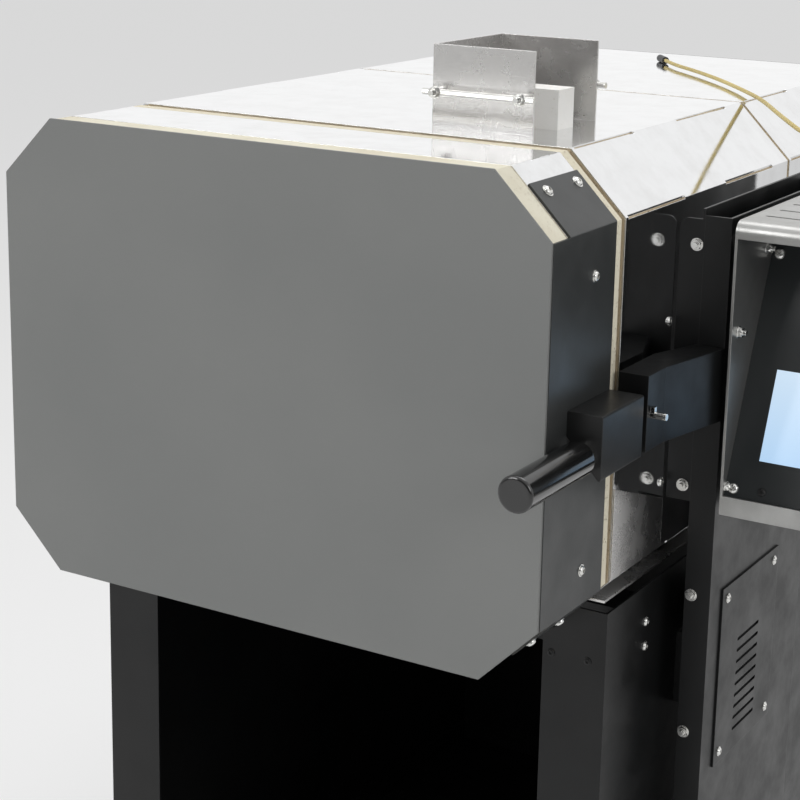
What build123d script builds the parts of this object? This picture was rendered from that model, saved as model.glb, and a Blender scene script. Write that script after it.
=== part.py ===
"""Front-opening heat treating kiln on a sheet-metal stand, with its control tower on the right-hand side.

Millimetres, +Z up. The front faces -Y and the control side is +X. The origin is on the floor, at the
centre of the stand's base pan.
"""

import math
import os

from build123d import *

os.makedirs("parts", exist_ok=True)

# Sheet and board thicknesses
jacket_sheet = 1.2
panel_sheet = 2.0
frame_sheet = 2.0
plate_sheet = 1.6
blanket_t = 20.0
board_t = 22.0

# Octagonal body
body_w = 470.0
body_h = 361.0
corner = 45.0
front_jacket_len = 319.0
rear_jacket_len = 320.0
seam_gap = 5.0
door_gap = 5.0

# Door, from its front face to its back
board_gap = 2.0
band_len = 72.0
brick_proud = 11.0
band_setback = 1.0
strap_reach = 32.0

# Firing chamber
chamber_w = 228.0
chamber_h = 150.0
rear_brick_t = 95.0
groove_pitch = 42.0
groove_w = 16.0
groove_depth = 16.0
groove_count = 3
groove_lead = 20.0
coil_d = 12.0

# Stand
stand_h = 460.0
leg_face_w = 52.0
stand_overlap = 20.0
rail_h = 40.0
rail_inset = 60.0
pan_lip_h = 25.0

# Tower beside the body
tower_lead = 94.0
tower_depth = 205.0
tower_gap = 21.0
tower_w = 21.0
tower_floor_gap = 20.0
tower_top_drop = 55.0
shield_h = 226.0
shield_rise = 5.0
shield_clear = 1.5
shield_flange_drop = 8.0
shield_round = 7.0
strap_h = 60.0
strap_t = 3.0

# Control box beyond the tower
box_gap = 6.0
box_w = 154.0
box_depth = 200.0
box_h = 224.0
box_lead = 8.0
box_round = 9.0
cover_lip = 13.0
foot_band_h = 15.0
spacer_d = 14.0
spacer_inset = 30.0
panel_recess = 0.5
panel_lean = 22.0
panel_len = 200.0
screen_w = 110.0
screen_h = 70.0
screen_side = 22.0
screen_foot = 30.0
screen_recess = 0.6
module_rim = 8.0
module_t = 14.0

# Louvred cover low on the tower
cover_w = 120.0
cover_h = 150.0
cover_lead = 24.0
cover_drop = 10.0
louvre_len = 46.0
louvre_w = 3.0
louvre_pitch = 9.7
louvre_low = 18.0
vent_len = 60.0
vent_w = 4.0
vent_lead = 34.0
vent_pitch = 29.0
vent_count = 4
louvre_count = 9

# Latch and handle
latch_w = 27.0
latch_h = 48.0
latch_len = 66.0
latch_back_setback = 1.0
latch_rise = 172.0
latch_slope = 30.0
latch_round = 1.5
grip_d = 25.4
grip_len = 93.0
grip_round = 2.5
ferrule_d = 18.0
ferrule_len = 8.0
grip_offset = 14.0
grip_drop = 5.0
arm_clear = 4.5
arm_w = 23.0
arm_h = 56.0
arm_rise = 208.0
arm_lead = 10.0
arm_knee = 30.0
keeper_d = 5.0
keeper_len = 13.0
keeper_drop = 29.0
keeper_hook = 6.0
keeper_lug = 3.5

# Hinges
hinge_gap = 3.0
knuckle_d = 16.0
pin_d = 8.0
pin_clearance = 0.05
pin_head = 2.5
knuckle_len = 24.0
knuckle_gap = 0.5
leaf_t = 3.0
leaf_reach = 48.0
hinge_inset = 90.0

# Terminal bracket on the roof
bracket_w = 85.0
bracket_d = 106.0
bracket_h = 62.0
bracket_x = 100.5
bracket_lead = 32.0
rod_d = 5.0
rod_len = 93.0
rod_rise = 27.0
rod_stand_off = 7.0
block_w = 34.0
block_d = 26.0
block_h = 30.0
strip_rise = 30.0
strip_w = 12.0
strip_t = 2.0
rub_t = 1.0
rub_len = 89.0
rub_front_top = 117.0
rub_rear_top = 85.0
rub_foot = 46.0
slot_len = 100.0
slot_w = 2.6
slot_pitch = 180.0
slot_lead = 4.0
band_slot_len = 14.0
band_slot_pitch = 28.0

# Sensor lead
lead_d = 3.4
lead_entry = 54.0
gland_d = 7.0
gland_len = 22.0
gland_h = 7.0
arc_share = 0.45

# Places along the depth
door_thick = panel_sheet + board_t + board_gap + band_len + brick_proud
body_len = front_jacket_len + seam_gap + rear_jacket_len
body_y0 = -body_len / 2
body_y1 = body_len / 2
seam_y = body_y0 + front_jacket_len
door_back_y = body_y0 - door_gap
door_front_y = door_back_y - door_thick
board_y0 = door_front_y + panel_sheet
core_y0 = board_y0 + board_t
band_y0 = core_y0 + board_gap
band_y1 = band_y0 + band_len
chamber_back_y = body_y1 - rear_brick_t

# Places across the width and up the height
half_w = body_w / 2
body_top_z = stand_h + body_h
mid_z = stand_h + body_h / 2
side_inner = half_w - frame_sheet
strap_face_x = half_w - band_setback + plate_sheet
bend_share = 2 - math.sqrt(2)


def front_plane(y):
    """A plane at depth y, centred on the body, drawn as seen from the front; it extrudes forwards."""
    return Plane(origin=(0, y, mid_z), x_dir=(1, 0, 0), z_dir=(0, -1, 0))


def side_plane(x, y=0, z=0):
    """A plane at width x that extrudes towards +X, drawn with depth across and height up."""
    return Plane(origin=(x, y, z), x_dir=(0, 1, 0), z_dir=(1, 0, 0))


def octagon_prism(y0, y1, inset, wall=0):
    """The body's eight-sided outline, drawn in by inset, from y0 to y1; hollow where a wall is given."""
    with BuildPart() as prism:
        with BuildSketch(front_plane(y1)) as outline:
            Rectangle(body_w - 2 * inset, body_h - 2 * inset)
            chamfer(outline.vertices(), corner - inset * bend_share)
            if wall:
                offset(amount=-wall, kind=Kind.INTERSECTION, mode=Mode.SUBTRACT)
        extrude(amount=y1 - y0)
    return prism.part


def bend_slots(y0, length, pitch, count):
    """Slots cut along the eight bends, which let the sheet fold there; count of them from y0, at a pitch."""
    bends = [(half_w, body_h / 2 - corner), (half_w - corner, body_h / 2)]
    with BuildPart() as slots:
        for bend_x, bend_z in bends:
            for side in (-1, 1):
                for up in (-1, 1):
                    for index in range(count):
                        slot_y = y0 + length / 2 + index * pitch
                        with Locations((side * bend_x, slot_y, mid_z + up * bend_z)):
                            Box(slot_w, length, slot_w)
    return slots.part


def bent_sheet(plane, points, thickness, length, side=Side.LEFT):
    """A sheet bent along the points, its thickness on one side of them, drawn on a plane and extruded."""
    with BuildPart() as sheet:
        with BuildSketch(plane):
            with BuildLine():
                Polyline(*points)
                offset(amount=thickness, side=side)
            make_face()
        extrude(amount=length)
    return sheet.part


# Door: painted front panel, with the fibre board behind it left bare at its edge
with BuildPart() as door_panel:
    add(octagon_prism(door_front_y, board_y0, 0))

with BuildPart() as door_board:
    add(octagon_prism(board_y0, core_y0, band_setback))

# Door: stainless band round the brick core, which stands proud of it towards the body
with BuildPart() as door_band:
    add(octagon_prism(band_y0, band_y1, band_setback, jacket_sheet))
    band_slot_y = (band_y0 + band_y1 - band_slot_len - band_slot_pitch) / 2
    add(bend_slots(band_slot_y, band_slot_len, band_slot_pitch, 2), mode=Mode.SUBTRACT)

with BuildPart() as door_brick:
    add(octagon_prism(core_y0, band_y1, band_setback + jacket_sheet))
    add(octagon_prism(band_y1, door_back_y, band_setback))


def door_strap(side):
    """Dark plate over the band, run on to both corners, and over the board's edge on the upright side."""
    skin = half_w - band_setback
    bend = body_h / 2 - corner
    points = [
        (side * (skin - strap_reach), bend + strap_reach),
        (side * skin, bend),
        (side * skin, -bend),
        (side * (skin - strap_reach), -bend - strap_reach),
    ]
    plate_side = Side.LEFT if side > 0 else Side.RIGHT
    with BuildPart() as strap:
        add(bent_sheet(front_plane(band_y1), points, plate_sheet, band_len, plate_side))
        with Locations((side * (skin + plate_sheet / 2), (board_y0 + band_y0) / 2, mid_z)):
            Box(plate_sheet, band_y0 - board_y0, 2 * bend)
    return strap.part


with BuildPart() as door_side_plate_right:
    add(door_strap(1))

with BuildPart() as door_side_plate_left:
    add(door_strap(-1))

# Latch box on the right-hand side plate, its underside sloped up towards the plate
latch_y1 = band_y1 - latch_back_setback
latch_y0 = latch_y1 - latch_len
latch_z = stand_h + latch_rise
with BuildPart() as latch_box:
    with BuildSketch(Plane(origin=(strap_face_x, latch_y1, latch_z), x_dir=(1, 0, 0), z_dir=(0, -1, 0))):
        with BuildLine():
            Polyline(
                (0, latch_h / 2),
                (latch_w, latch_h / 2),
                (latch_w, -latch_h / 2),
                (0, latch_slope - latch_h / 2),
                close=True,
            )
        make_face()
    extrude(amount=latch_len)
    fillet(latch_box.edges().filter_by(Axis.Y), latch_round)

# Handle: bright ferrule and black grip, pointing forwards from the latch box
handle_plane = Plane(
    origin=(strap_face_x + grip_offset, latch_y0, latch_z - grip_drop), x_dir=(1, 0, 0), z_dir=(0, -1, 0)
)
with BuildPart() as handle_ferrule:
    with BuildSketch(handle_plane):
        Circle(ferrule_d / 2)
    extrude(amount=ferrule_len)

with BuildPart() as handle_grip:
    with BuildSketch(handle_plane.offset(ferrule_len)):
        Circle(grip_d / 2)
    extrude(amount=grip_len)
    fillet(handle_grip.edges().filter_by(GeomType.CIRCLE), grip_round)

# Hinges on the left, on one vertical axis beside the door's joint
axis_x = -(half_w + hinge_gap + knuckle_d / 2)
axis_y = (door_back_y + body_y0) / 2
hinge_zs = (stand_h + hinge_inset, body_top_z - hinge_inset)


def hinge_leaf(hinge_z, towards):
    """One leaf with its knuckle: towards is -1 for the door's leaf, knuckle above, and 1 for the body's."""
    z0 = hinge_z + (knuckle_gap / 2 if towards < 0 else -knuckle_gap / 2 - knuckle_len)
    face_x = -half_w if towards > 0 else -strap_face_x
    near_y = axis_y + towards * (knuckle_d / 2 - leaf_t)
    far_y = axis_y + towards * knuckle_d / 2
    end_y = axis_y + towards * leaf_reach
    with BuildPart() as leaf:
        with BuildSketch(Plane.XY.offset(z0)):
            with Locations((axis_x, axis_y)):
                Circle(knuckle_d / 2)
            with BuildLine():
                Polyline(
                    (axis_x, far_y),
                    (face_x - leaf_t, far_y),
                    (face_x - leaf_t, end_y),
                    (face_x, end_y),
                    (face_x, near_y),
                    (axis_x, near_y),
                    close=True,
                )
            make_face()
            with Locations((axis_x, axis_y)):
                Circle(pin_d / 2 + pin_clearance, mode=Mode.SUBTRACT)
        extrude(amount=knuckle_len)
    return leaf.part


with BuildPart() as door_hinge_leaves:
    for hinge_z in hinge_zs:
        add(hinge_leaf(hinge_z, -1))

with BuildPart() as body_hinge_leaves:
    for hinge_z in hinge_zs:
        add(hinge_leaf(hinge_z, 1))

# Hinge pins, each with a head under the body's knuckle that carries it
with BuildPart() as hinge_pins:
    for hinge_z in hinge_zs:
        pin_base = Plane.XY.offset(hinge_z - knuckle_gap / 2 - knuckle_len)
        with BuildSketch(pin_base):
            with Locations((axis_x, axis_y)):
                Circle(pin_d / 2)
        extrude(amount=2 * knuckle_len + knuckle_gap)
        with BuildSketch(pin_base):
            with Locations((axis_x, axis_y)):
                Circle(pin_d / 2 + pin_head)
        extrude(amount=-pin_head)

# Body: polished jackets, with the blanket that shows in the seam between them
with BuildPart() as jacket_front:
    add(octagon_prism(body_y0, seam_y, 0, jacket_sheet))
    add(bend_slots(body_y0 + slot_lead, slot_len, slot_pitch, 2), mode=Mode.SUBTRACT)

with BuildPart() as jacket_rear:
    add(octagon_prism(seam_y + seam_gap, body_y1, 0, jacket_sheet))
    add(bend_slots(seam_y + seam_gap + slot_lead, slot_len, slot_pitch, 2), mode=Mode.SUBTRACT)

with BuildPart() as insulation_blanket:
    add(octagon_prism(body_y0, body_y1, jacket_sheet, blanket_t))

with BuildPart() as rear_panel:
    add(octagon_prism(body_y1, body_y1 + frame_sheet, 0))

# Body: firebrick floor and roof slabs, cut to the octagon, and walls between them
brick_inset = jacket_sheet + blanket_t
pack_half_w = half_w - brick_inset
pack_half_h = body_h / 2 - brick_inset
pack_corner = corner - brick_inset * bend_share


def slab(up):
    """Roof brick where up is 1, floor brick where it is -1."""
    with BuildPart() as brick:
        with BuildSketch(front_plane(body_y1)) as outline:
            with Locations((0, up * (chamber_h / 2 + pack_half_h) / 2)):
                Rectangle(2 * pack_half_w, pack_half_h - chamber_h / 2)
            outer = outline.vertices().group_by(Axis.Y)[-1 if up > 0 else 0]
            chamfer(outer, pack_corner)
        extrude(amount=body_len)
    return brick.part


with BuildPart() as brick_roof:
    add(slab(1))

with BuildPart() as brick_floor:
    add(slab(-1))

groove_zs = [mid_z + (row - (groove_count - 1) / 2) * groove_pitch for row in range(groove_count)]
groove_y0 = body_y0 + groove_lead
groove_len = chamber_back_y - groove_y0


def wall_brick(side):
    """Side wall of the chamber, with a groove for each heating coil."""
    wall_t = pack_half_w - chamber_w / 2
    with BuildPart() as wall:
        with Locations((side * (chamber_w + wall_t) / 2, (body_y0 + chamber_back_y) / 2, mid_z)):
            Box(wall_t, chamber_back_y - body_y0, chamber_h)
        for groove_z in groove_zs:
            with Locations((side * (chamber_w + groove_depth) / 2, groove_y0 + groove_len / 2, groove_z)):
                Box(groove_depth, groove_len, groove_w, mode=Mode.SUBTRACT)
    return wall.part


with BuildPart() as brick_walls:
    add(wall_brick(1))
    add(wall_brick(-1))

with BuildPart() as brick_rear:
    with Locations((0, chamber_back_y + rear_brick_t / 2, mid_z)):
        Box(2 * pack_half_w, rear_brick_t, chamber_h)


def coil_row(side):
    """One coil along each groove, resting on the groove's lower face."""
    coil_x = side * (chamber_w / 2 + groove_depth - coil_d / 2)
    with BuildPart() as coils:
        for groove_z in groove_zs:
            coil_z = groove_z - groove_w / 2 + coil_d / 2
            with BuildSketch(Plane(origin=(coil_x, groove_y0, coil_z), x_dir=(1, 0, 0), z_dir=(0, 1, 0))):
                Circle(coil_d / 2)
            extrude(amount=groove_len)
    return coils.part


with BuildPart() as heating_coils:
    add(coil_row(1))
    add(coil_row(-1))

# Bright trim low on the front jacket's right: a ledge on the chamfer and a rub plate on the side
with BuildPart() as side_trim:
    with BuildSketch(Plane(origin=(half_w - corner, seam_y, stand_h), x_dir=(1, 0, 0), z_dir=(0, -1, 0))):
        with BuildLine():
            Polyline(
                (strip_rise, strip_rise),
                (strip_rise + strip_w, strip_rise),
                (strip_rise + strip_w, strip_rise - strip_t),
                (strip_rise - strip_t, strip_rise - strip_t),
                close=True,
            )
        make_face()
    extrude(amount=front_jacket_len)
    with BuildSketch(side_plane(half_w, body_y0, stand_h)):
        with BuildLine():
            Polyline(
                (0, rub_foot), (0, rub_front_top), (rub_len, rub_rear_top), (rub_len, rub_foot), close=True
            )
        make_face()
    extrude(amount=rub_t)

# Roof: terminal bracket, a channel open to the right, with its rods and ceramic block
bracket_y0 = body_y0 + bracket_lead
bracket_y1 = bracket_y0 + bracket_d
bracket_x0 = bracket_x - bracket_w / 2
bracket_x1 = bracket_x + bracket_w / 2
bracket_points = [
    (bracket_x1, bracket_y0),
    (bracket_x0, bracket_y0),
    (bracket_x0, bracket_y1),
    (bracket_x1, bracket_y1),
]
with BuildPart() as terminal_bracket:
    add(bent_sheet(Plane.XY.offset(body_top_z), bracket_points, plate_sheet, bracket_h, Side.RIGHT))

rod_z = body_top_z + rod_rise
rod_ys = (bracket_y0 - rod_stand_off, bracket_y1 + rod_stand_off)
with BuildPart() as terminal_rods:
    for rod_y, face_y in zip(rod_ys, (bracket_y0, bracket_y1)):
        with BuildSketch(side_plane(bracket_x - rod_len / 2, rod_y, rod_z)):
            Circle(rod_d / 2)
        extrude(amount=rod_len)
        for lug_x in (bracket_x0 + rod_stand_off, bracket_x1 - rod_stand_off):
            with Locations((lug_x, (rod_y + face_y) / 2, rod_z)):
                Box(rod_d, abs(face_y - rod_y), rod_d)

with BuildPart() as terminal_block:
    with Locations((bracket_x1 - block_w / 2, (bracket_y0 + bracket_y1) / 2, body_top_z + block_h / 2)):
        Box(block_w, block_d, block_h)


def stand_side(side):
    """Side panel of the stand, bent inwards down its front and rear edges, and taller beside the body."""
    points = [
        (side * (half_w - leg_face_w), body_y0),
        (side * half_w, body_y0),
        (side * half_w, body_y1),
        (side * (half_w - leg_face_w), body_y1),
    ]
    with BuildPart() as panel:
        add(bent_sheet(Plane.XY, points, frame_sheet, stand_h, Side.LEFT if side > 0 else Side.RIGHT))
        with Locations((side * (half_w - frame_sheet / 2), 0, stand_h + stand_overlap / 2)):
            Box(frame_sheet, body_len, stand_overlap)
        with BuildSketch(Plane(origin=(0, body_y0, stand_h), x_dir=(1, 0, 0), z_dir=(0, -1, 0))):
            with BuildLine():
                Polyline(
                    (side * half_w, 0),
                    (side * half_w, stand_overlap),
                    (side * (half_w - corner + stand_overlap + frame_sheet), stand_overlap),
                    (side * (half_w - corner + frame_sheet), 0),
                    close=True,
                )
            make_face()
        extrude(amount=-frame_sheet)
    return panel.part


# Stand: two side panels, back panel, base pan and the rails that the body rests on
with BuildPart() as stand_side_right:
    add(stand_side(1))

with BuildPart() as stand_side_left:
    add(stand_side(-1))

with BuildPart() as stand_back:
    with Locations((0, body_y1 - frame_sheet * 1.5, stand_h / 2)):
        Box(2 * side_inner, frame_sheet, stand_h)

pan_y0 = body_y0 + frame_sheet
pan_y1 = body_y1 - 2 * frame_sheet
with BuildPart() as base_pan:
    with BuildSketch(Plane.XY):
        with Locations((0, (pan_y0 + pan_y1) / 2)):
            Rectangle(2 * side_inner, pan_y1 - pan_y0)
    extrude(amount=pan_lip_h)
    offset(amount=-frame_sheet, openings=base_pan.faces().sort_by(Axis.Z)[-1])


def cross_rail(rail_y, towards):
    """Angle between the side panels, its top leg under the body."""
    points = [(rail_y, stand_h - rail_h), (rail_y, stand_h), (rail_y + towards * rail_h, stand_h)]
    side = Side.RIGHT if towards > 0 else Side.LEFT
    return bent_sheet(side_plane(-side_inner), points, frame_sheet, 2 * side_inner, side)


with BuildPart() as cross_rails:
    add(cross_rail(body_y0 + rail_inset, 1))
    add(cross_rail(body_y1 - rail_inset, -1))

# Tower: outer sheet with front and rear returns, standing off the stand on two bent straps
tower_x0 = half_w + tower_gap
tower_x1 = tower_x0 + tower_w
tower_y0 = body_y0 + tower_lead
tower_y1 = tower_y0 + tower_depth
tower_top_z = body_top_z - tower_top_drop
tower_points = [(tower_x0, tower_y0), (tower_x1, tower_y0), (tower_x1, tower_y1), (tower_x0, tower_y1)]
with BuildPart() as tower_panel:
    tower_plane = Plane.XY.offset(tower_floor_gap)
    add(bent_sheet(tower_plane, tower_points, frame_sheet, tower_top_z - tower_floor_gap))

strap_inset = 40.0
strap_fold = 30.0
strap_x1 = tower_x1 - frame_sheet
strap_zs = (strap_inset + strap_h, stand_h - strap_h - strap_inset)
with BuildPart() as tower_straps:
    for strap_z in strap_zs:
        for strap_y, fold in ((tower_y0 + strap_inset, strap_fold), (tower_y1 - strap_inset, -strap_fold)):
            points = [(half_w, strap_y + fold), (half_w, strap_y), (strap_x1, strap_y), (strap_x1, strap_y + fold)]
            side = Side.LEFT if fold > 0 else Side.RIGHT
            add(bent_sheet(Plane.XY.offset(strap_z), points, strap_t, strap_h, side))

# Tower: inner heat shield with a flange towards the body
shield_top_z = tower_top_z + shield_rise
with BuildPart() as heat_shield:
    shield_base = Plane.XY.offset(shield_top_z - shield_h)
    shield_points = [(half_w + shield_clear, tower_y0), (tower_x0, tower_y0), (tower_x0, tower_y1)]
    add(bent_sheet(shield_base, shield_points, frame_sheet, shield_h - shield_flange_drop))
    shield_corner = heat_shield.edges().filter_by(Axis.Y).group_by(Axis.X)[0].sort_by(Axis.Z)[-1]
    fillet(shield_corner, shield_round)
    with Locations((tower_x0 - frame_sheet / 2, (tower_y0 + tower_y1) / 2, shield_top_z - shield_flange_drop / 2)):
        Box(frame_sheet, tower_depth, shield_flange_drop)

# Keeper: arm from the tower's front to the latch, splayed outwards at the tower, with its bright pin
arm_x0 = half_w + arm_clear
arm_x1 = arm_x0 + arm_w
arm_y0 = body_y0 - arm_lead
arm_z1 = stand_h + arm_rise
with BuildPart() as keeper_arm:
    with BuildSketch(Plane.XY.offset(arm_z1)):
        with BuildLine():
            Polyline(
                (arm_x0, arm_y0),
                (arm_x1, arm_y0),
                (arm_x1, arm_y0 + arm_knee),
                (tower_x1, tower_y0),
                (tower_x0 - frame_sheet, tower_y0),
                (arm_x0, arm_y0 + 2 * arm_knee),
                close=True,
            )
        make_face()
    extrude(amount=-arm_h)

with BuildPart() as keeper_pin:
    pin_y = arm_y0 + keeper_d
    pin_z = arm_z1 - keeper_drop
    with BuildSketch(side_plane(arm_x1, pin_y, pin_z)):
        Circle(keeper_d / 2)
    extrude(amount=keeper_len)
    with Locations((arm_x1 + keeper_d / 2, pin_y, pin_z + keeper_hook / 2)):
        Box(keeper_lug, keeper_lug, keeper_hook)

# Control box: two cheeks with a rounded upper front corner
box_x0 = tower_x1 + box_gap
box_x1 = box_x0 + box_w
box_y0 = tower_y0 - box_lead
box_y1 = box_y0 + box_depth
box_z1 = tower_top_z
box_z0 = box_z1 - box_h


def box_cheek(x):
    """Side of the control box, one sheet thick, from x towards +X."""
    with BuildPart() as cheek:
        with BuildSketch(side_plane(x, (box_y0 + box_y1) / 2, (box_z0 + box_z1) / 2)) as outline:
            Rectangle(box_depth, box_h)
            upper_front = outline.vertices().group_by(Axis.Y)[-1].sort_by(Axis.X)[0]
            fillet(upper_front, box_round)
        extrude(amount=frame_sheet)
    return cheek.part


with BuildPart() as box_cheeks:
    add(box_cheek(box_x0))
    add(box_cheek(box_x1 - frame_sheet))

# Control box: cover, rounded over the front into a lip and down the back, between the cheeks
inner_x0 = box_x0 + frame_sheet
inner_w = box_w - 2 * frame_sheet
with BuildPart() as box_cover:
    with BuildSketch(side_plane(inner_x0)):
        with BuildLine():
            FilletPolyline(
                (box_y0, box_z1 - cover_lip),
                (box_y0, box_z1),
                (box_y1, box_z1),
                (box_y1, box_z0 + frame_sheet),
                radius=box_round,
            )
            offset(amount=frame_sheet, side=Side.RIGHT)
        make_face()
    extrude(amount=inner_w)
    with BuildSketch(Plane.XY.offset(box_z1)):
        with Locations((inner_x0 + inner_w / 2, box_y0 + vent_lead + (vent_count - 1) * vent_pitch / 2)):
            with GridLocations(inner_w / 2, vent_pitch, 2, vent_count):
                SlotOverall(vent_len, vent_w)
    extrude(amount=-frame_sheet, mode=Mode.SUBTRACT)

# Control box: base, folded up at the front into a band below the panel
with BuildPart() as box_base:
    base_points = [(box_y0, box_z0 + foot_band_h), (box_y0, box_z0), (box_y1, box_z0)]
    add(bent_sheet(side_plane(inner_x0), base_points, frame_sheet, inner_w))

# Control box: panel that leans back between the cheeks, with its screen
lean = math.radians(panel_lean)
panel_out = (0, -math.cos(lean), math.sin(lean))
panel_plane = Plane(
    origin=(inner_x0, box_y0 + frame_sheet + panel_recess, box_z0 + foot_band_h),
    x_dir=(1, 0, 0),
    z_dir=panel_out,
)
screen_centre = (screen_side + screen_w / 2, screen_foot + screen_h / 2)
with BuildPart() as control_panel:
    with BuildSketch(panel_plane):
        with Locations((inner_w / 2, panel_len / 2)):
            Rectangle(inner_w, panel_len)
        with Locations(screen_centre):
            Rectangle(screen_w, screen_h, mode=Mode.SUBTRACT)
    extrude(amount=-panel_sheet)

with BuildPart() as screen_module:
    with BuildSketch(panel_plane.offset(-panel_sheet)):
        with Locations(screen_centre):
            Rectangle(screen_w + 2 * module_rim, screen_h + 2 * module_rim)
    extrude(amount=-module_t)

with BuildPart() as screen:
    with BuildSketch(panel_plane.offset(-panel_sheet)):
        with Locations(screen_centre):
            Rectangle(screen_w, screen_h)
    extrude(amount=panel_sheet - screen_recess)

# Control box: round spacers that hold it off the tower
with BuildPart() as box_spacers:
    for spacer_y in (box_y0 + 2 * spacer_inset, box_y1 - spacer_inset):
        for spacer_z in (box_z0 + spacer_inset, box_z1 - spacer_inset):
            with BuildSketch(side_plane(tower_x1, spacer_y, spacer_z)):
                Circle(spacer_d / 2)
            extrude(amount=box_gap)

# Louvred access cover low on the tower
cover_y0 = tower_y0 + cover_lead
cover_z1 = stand_h + cover_drop
with BuildPart() as louvred_cover:
    with BuildSketch(side_plane(tower_x1, cover_y0 + cover_w / 2, cover_z1 - cover_h / 2)):
        Rectangle(cover_w, cover_h)
        with Locations((0, -louvre_low)):
            with GridLocations(0, louvre_pitch, 1, louvre_count):
                SlotOverall(louvre_len, louvre_w, mode=Mode.SUBTRACT)
    extrude(amount=plate_sheet)

# Yellow sensor lead, from a gland on the roof, over the tower's top and down into the box's cover
lead_start = (20.0, 229.0, body_top_z + gland_d / 2)
lead_end = (inner_x0 + inner_w / 2, box_y0 + lead_entry, box_z1 + gland_h)
lead_points = [
    lead_start,
    (44.0, 198.0, lead_start[2]),
    (82.0, 160.0, lead_start[2]),
    (126.0, 110.0, lead_start[2]),
    (172.0, 50.0, lead_start[2]),
    (214.0, -16.0, lead_start[2] + 2.0),
    (254.0, -82.0, lead_start[2]),
    (294.0, -142.0, lead_start[2] - 3.0),
    (328.0, -166.0, lead_start[2] - 9.0),
    (lead_end[0] - 10.0, lead_end[1] + 4.0, lead_end[2] + 30.0),
    (lead_end[0], lead_end[1], lead_end[2] + 14.0),
    lead_end,
]
lead_radii = []
for before, point, after in zip(lead_points, lead_points[1:], lead_points[2:]):
    run_in, run_out = Vector(point) - Vector(before), Vector(after) - Vector(point)
    half_turn = math.radians(run_in.get_angle(run_out)) / 2
    lead_radii.append(arc_share * min(run_in.length, run_out.length) / math.tan(half_turn))
print("lead radii", [round(radius) for radius in lead_radii])
with BuildPart() as sensor_lead:
    with BuildLine() as lead_route:
        FilletPolyline(*lead_points, radius=lead_radii)
    lead_wire = lead_route.wire()
    with BuildSketch(Plane(origin=lead_wire @ 0, z_dir=lead_wire % 0)):
        Circle(lead_d / 2)
    sweep(path=lead_wire)
print("lead volume", sensor_lead.part.volume, "of", math.pi * lead_d**2 / 4 * lead_wire.length)

# Glands at the lead's two ends
with BuildPart() as lead_glands:
    with BuildSketch(Plane(origin=lead_start, z_dir=Vector(*lead_points[0]) - Vector(*lead_points[1]))):
        Circle(gland_d / 2)
    extrude(amount=gland_len)
    with BuildSketch(Plane.XY.offset(box_z1)):
        with Locations(lead_end[:2]):
            Circle(gland_d / 2)
    extrude(amount=gland_h)

pieces = {
    "door_panel": door_panel,
    "door_board": door_board,
    "door_band": door_band,
    "door_brick": door_brick,
    "door_side_plate_right": door_side_plate_right,
    "door_side_plate_left": door_side_plate_left,
    "latch_box": latch_box,
    "handle_ferrule": handle_ferrule,
    "handle_grip": handle_grip,
    "door_hinge_leaves": door_hinge_leaves,
    "body_hinge_leaves": body_hinge_leaves,
    "hinge_pins": hinge_pins,
    "jacket_front": jacket_front,
    "jacket_rear": jacket_rear,
    "insulation_blanket": insulation_blanket,
    "rear_panel": rear_panel,
    "brick_roof": brick_roof,
    "brick_floor": brick_floor,
    "brick_walls": brick_walls,
    "brick_rear": brick_rear,
    "heating_coils": heating_coils,
    "side_trim": side_trim,
    "terminal_bracket": terminal_bracket,
    "terminal_rods": terminal_rods,
    "terminal_block": terminal_block,
    "stand_side_right": stand_side_right,
    "stand_side_left": stand_side_left,
    "stand_back": stand_back,
    "base_pan": base_pan,
    "cross_rails": cross_rails,
    "tower_panel": tower_panel,
    "tower_straps": tower_straps,
    "heat_shield": heat_shield,
    "keeper_arm": keeper_arm,
    "keeper_pin": keeper_pin,
    "box_cheeks": box_cheeks,
    "box_cover": box_cover,
    "box_base": box_base,
    "control_panel": control_panel,
    "screen_module": screen_module,
    "screen": screen,
    "box_spacers": box_spacers,
    "louvred_cover": louvred_cover,
    "sensor_lead": sensor_lead,
    "lead_glands": lead_glands,
}
for label, piece in pieces.items():
    piece.part.label = label
    export_step(piece.part, f"parts/{label}.step")
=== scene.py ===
import math

import bmesh
import bpy
from mathutils import Matrix, Vector


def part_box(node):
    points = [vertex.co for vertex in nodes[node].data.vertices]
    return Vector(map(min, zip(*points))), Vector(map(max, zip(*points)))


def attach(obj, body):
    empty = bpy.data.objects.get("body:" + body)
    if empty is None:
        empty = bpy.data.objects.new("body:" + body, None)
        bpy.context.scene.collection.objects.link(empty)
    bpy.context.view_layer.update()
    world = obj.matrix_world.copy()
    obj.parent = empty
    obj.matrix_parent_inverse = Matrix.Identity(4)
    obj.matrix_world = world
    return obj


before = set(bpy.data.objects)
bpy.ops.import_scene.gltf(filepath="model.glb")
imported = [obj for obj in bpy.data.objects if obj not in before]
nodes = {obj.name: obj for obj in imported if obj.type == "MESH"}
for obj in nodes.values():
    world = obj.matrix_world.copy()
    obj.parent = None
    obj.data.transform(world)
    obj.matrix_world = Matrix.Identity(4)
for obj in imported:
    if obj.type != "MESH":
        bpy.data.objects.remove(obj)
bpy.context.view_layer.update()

# Viewpoint: a long lens to the right of the door and a little above the roof, level but for a
# slight roll. The picture is framed off the lens's axis, so the film is shifted.
photo_px = 800
focal_px = 1955.0
axis_px = (407.0, 321.0)
film_mm = 36.0
turn = math.radians(30.77)
dip = math.radians(13.77)
roll = math.radians(1.14)
viewpoint = bpy.data.cameras.new("viewpoint")
viewpoint.sensor_width = film_mm
viewpoint.lens = focal_px / photo_px * film_mm
viewpoint.shift_x = (photo_px / 2 - axis_px[0]) / photo_px
viewpoint.shift_y = (axis_px[1] - photo_px / 2) / photo_px
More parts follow.
